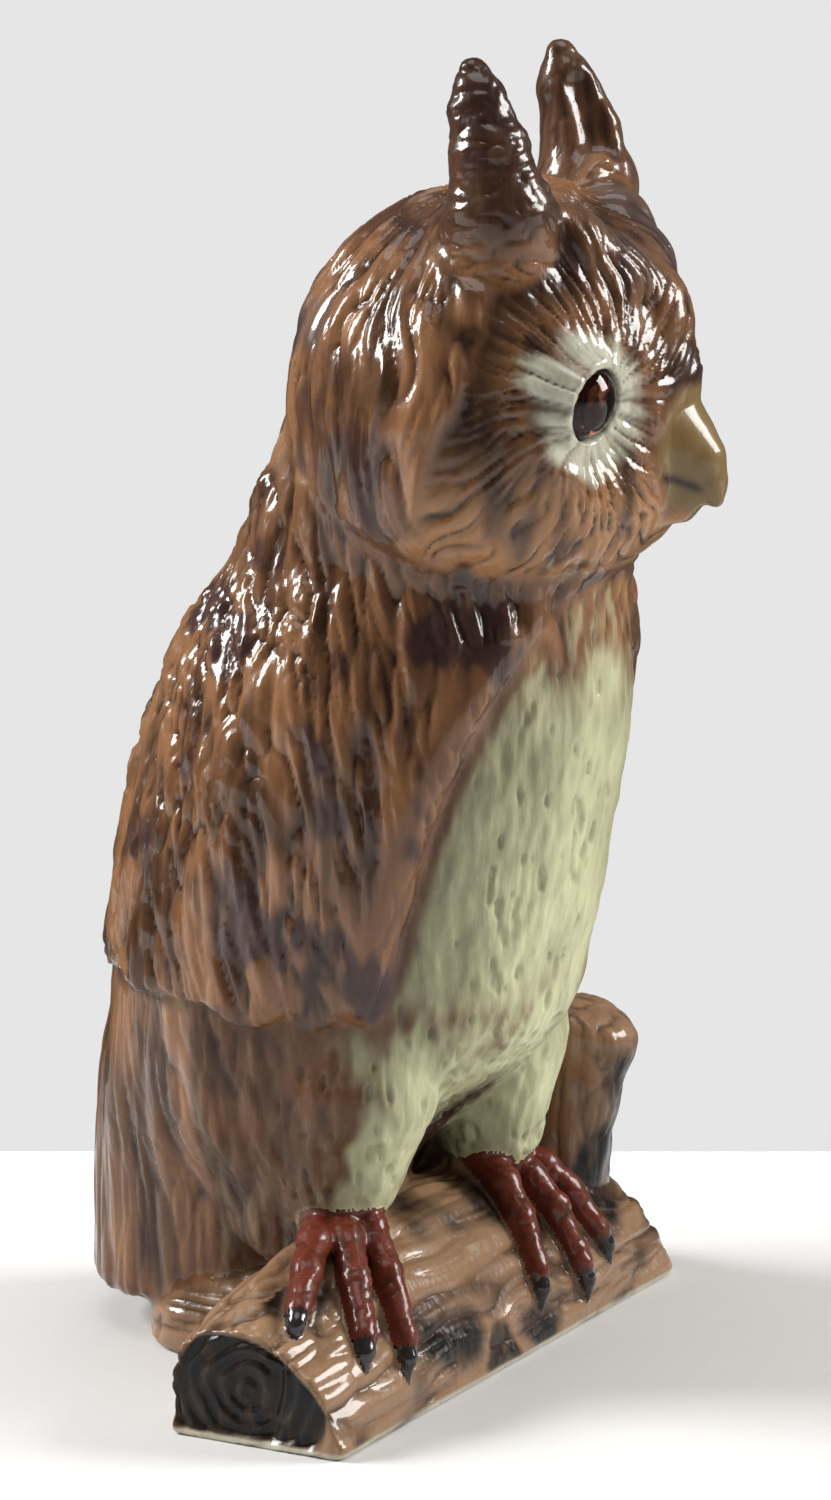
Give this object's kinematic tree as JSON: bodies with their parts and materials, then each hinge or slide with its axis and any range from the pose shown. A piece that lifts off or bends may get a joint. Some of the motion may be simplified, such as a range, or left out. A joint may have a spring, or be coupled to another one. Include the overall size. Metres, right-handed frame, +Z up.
{
  "type": "owl figurine",
  "caption": "Glazed ceramic horned owl perched on a cut log, with set-in glass eyes and painted feather strokes.",
  "frame": {"origin": "middle of the log's footprint, on the surface that the figurine stands on", "axes": "+Z up along the figurine's height, -Y the way the owl's body faces, +X the owl's left along the log"},
  "size_m": [0.156, 0.1565, 0.297],
  "materials": {
    "brown_glaze": "gloss",
    "dark_glaze": "gloss",
    "pale_glaze": "satin",
    "tan_glaze": "gloss",
    "red_glaze": "gloss",
    "horn_glaze": "gloss",
    "claw_glaze": "gloss",
    "eye_glass": "polished",
    "iris_paint": "gloss",
    "pupil_paint": "gloss",
    "putty": "matte"
  },
  "bodies": {
    "root": {"beak": "horn_glaze", "branch_stub": "tan_glaze", "claw_left_inner": "claw_glaze", "claw_left_middle": "claw_glaze", "claw_left_outer": "claw_glaze", "claw_right_inner": "claw_glaze", "claw_right_middle": "claw_glaze", "claw_right_outer": "claw_glaze", "ear_tuft_left": "dark_glaze", "ear_tuft_right": "dark_glaze", "eye_bed_left": "putty", "eye_bed_right": "putty", "eye_glass_left": "eye_glass", "eye_glass_right": "eye_glass", "eye_iris_left": "iris_paint", "eye_iris_right": "iris_paint", "eye_pupil_left": "pupil_paint", "eye_pupil_right": "pupil_paint", "head_shell": "brown_glaze", "knot_stub": "tan_glaze", "leg_left": "pale_glaze", "leg_right": "pale_glaze", "log_base": "tan_glaze", "tail": "brown_glaze", "toe_left_inner": "red_glaze", "toe_left_middle": "red_glaze", "toe_left_outer": "red_glaze", "toe_right_inner": "red_glaze", "toe_right_middle": "red_glaze", "toe_right_outer": "red_glaze", "torso_shell": "pale_glaze", "wing_left": "brown_glaze", "wing_right": "brown_glaze"}
  },
  "joints": []
}
